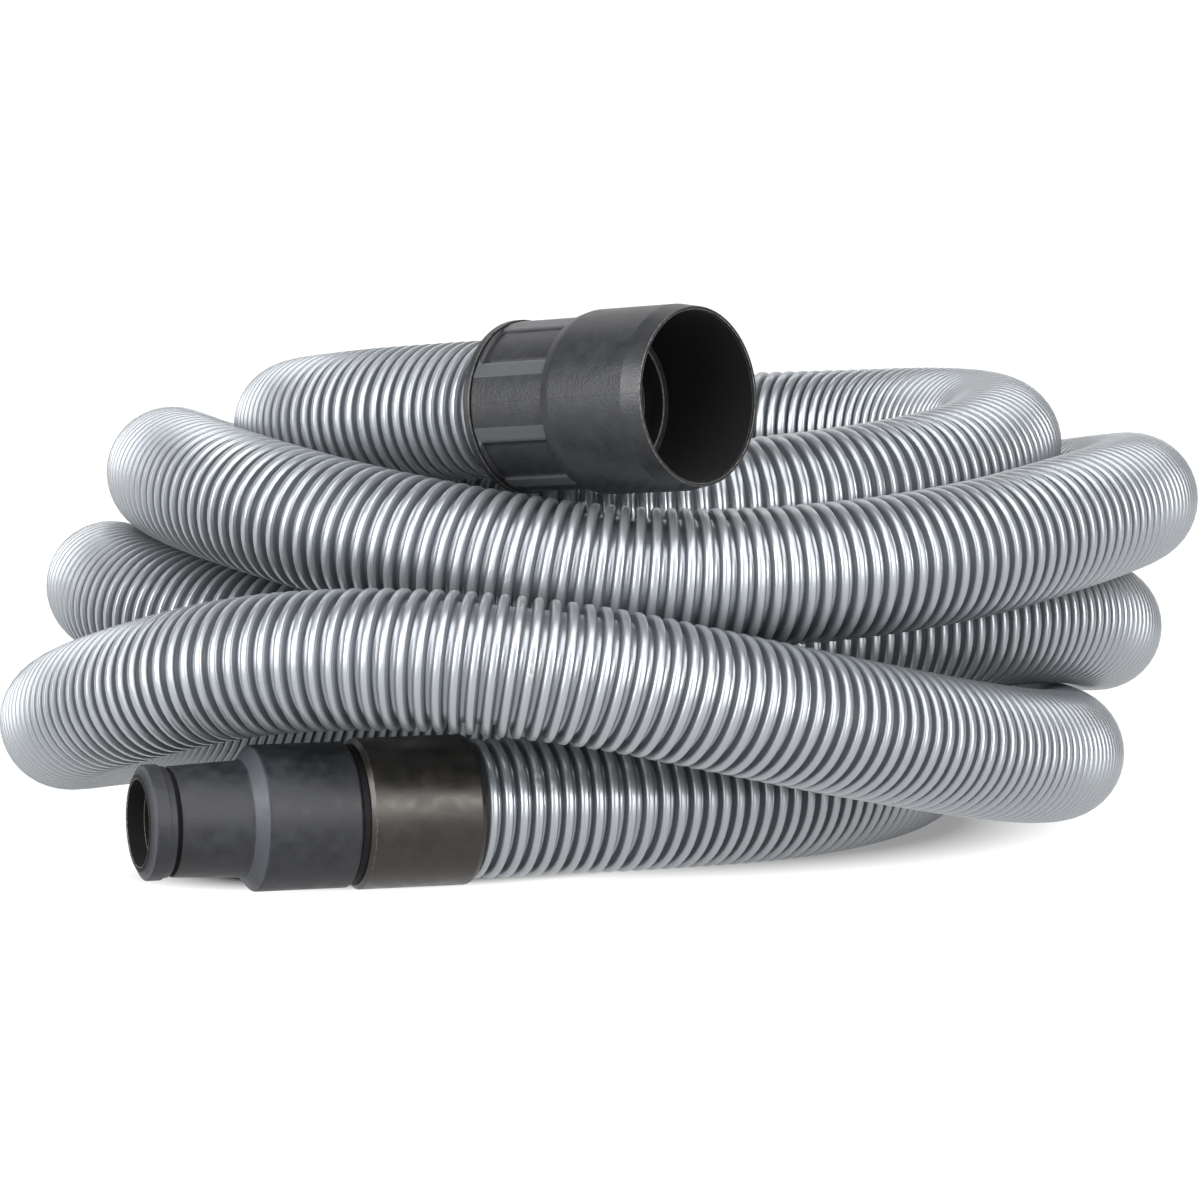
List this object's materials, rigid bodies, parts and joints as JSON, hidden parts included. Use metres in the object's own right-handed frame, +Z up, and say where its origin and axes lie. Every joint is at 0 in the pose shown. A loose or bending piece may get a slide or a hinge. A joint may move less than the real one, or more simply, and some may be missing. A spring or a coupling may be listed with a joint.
{
  "type": "vacuum hose",
  "caption": "Ribbed suction hose lying in loose turns, with a wide swivel cuff for the extractor and a stepped swivel nozzle for a tool.",
  "frame": {"origin": "on the ground, under the middle of the coil's box", "axes": "+Z up, -Y towards the side where the tool nozzle and the machine cuff lie, +X to the right seen from there"},
  "size_m": [0.4011, 0.4397, 0.1832],
  "materials": {
    "hose_plastic": "silver grey, satin, moulded ribs",
    "cuff_plastic": "charcoal, fine moulded grain",
    "nut_plastic": "charcoal, moulded",
    "nozzle_plastic": "anthracite, semi matte",
    "sleeve_plastic": "dark, slightly glossy",
    "ring_plastic": "spring plastic",
    "seal_rubber": "black, soft"
  },
  "bodies": {
    "hose_run": {"hose": "hose_plastic", "machine_nut": "nut_plastic", "machine_snap_ring": "ring_plastic", "machine_seal": "seal_rubber", "tool_sleeve": "sleeve_plastic", "tool_seal": "seal_rubber"},
    "machine_end": {"machine_cuff": "cuff_plastic"},
    "tool_end": {"tool_nozzle": "nozzle_plastic", "tool_snap_ring": "ring_plastic"}
  },
  "joints": [
    {"name": "machine_swivel", "type": "hinge", "parent": "hose_run", "child": "machine_end", "pos_m": [-0.028, -0.129, 0.1485], "axis": [0.7461, -0.6601, 0.0872], "continuous": true},
    {"name": "tool_swivel", "type": "hinge", "parent": "hose_run", "child": "tool_end", "pos_m": [-0.0455, -0.1545, 0.02365], "axis": [-0.9478, -0.319, 0], "continuous": true}
  ]
}
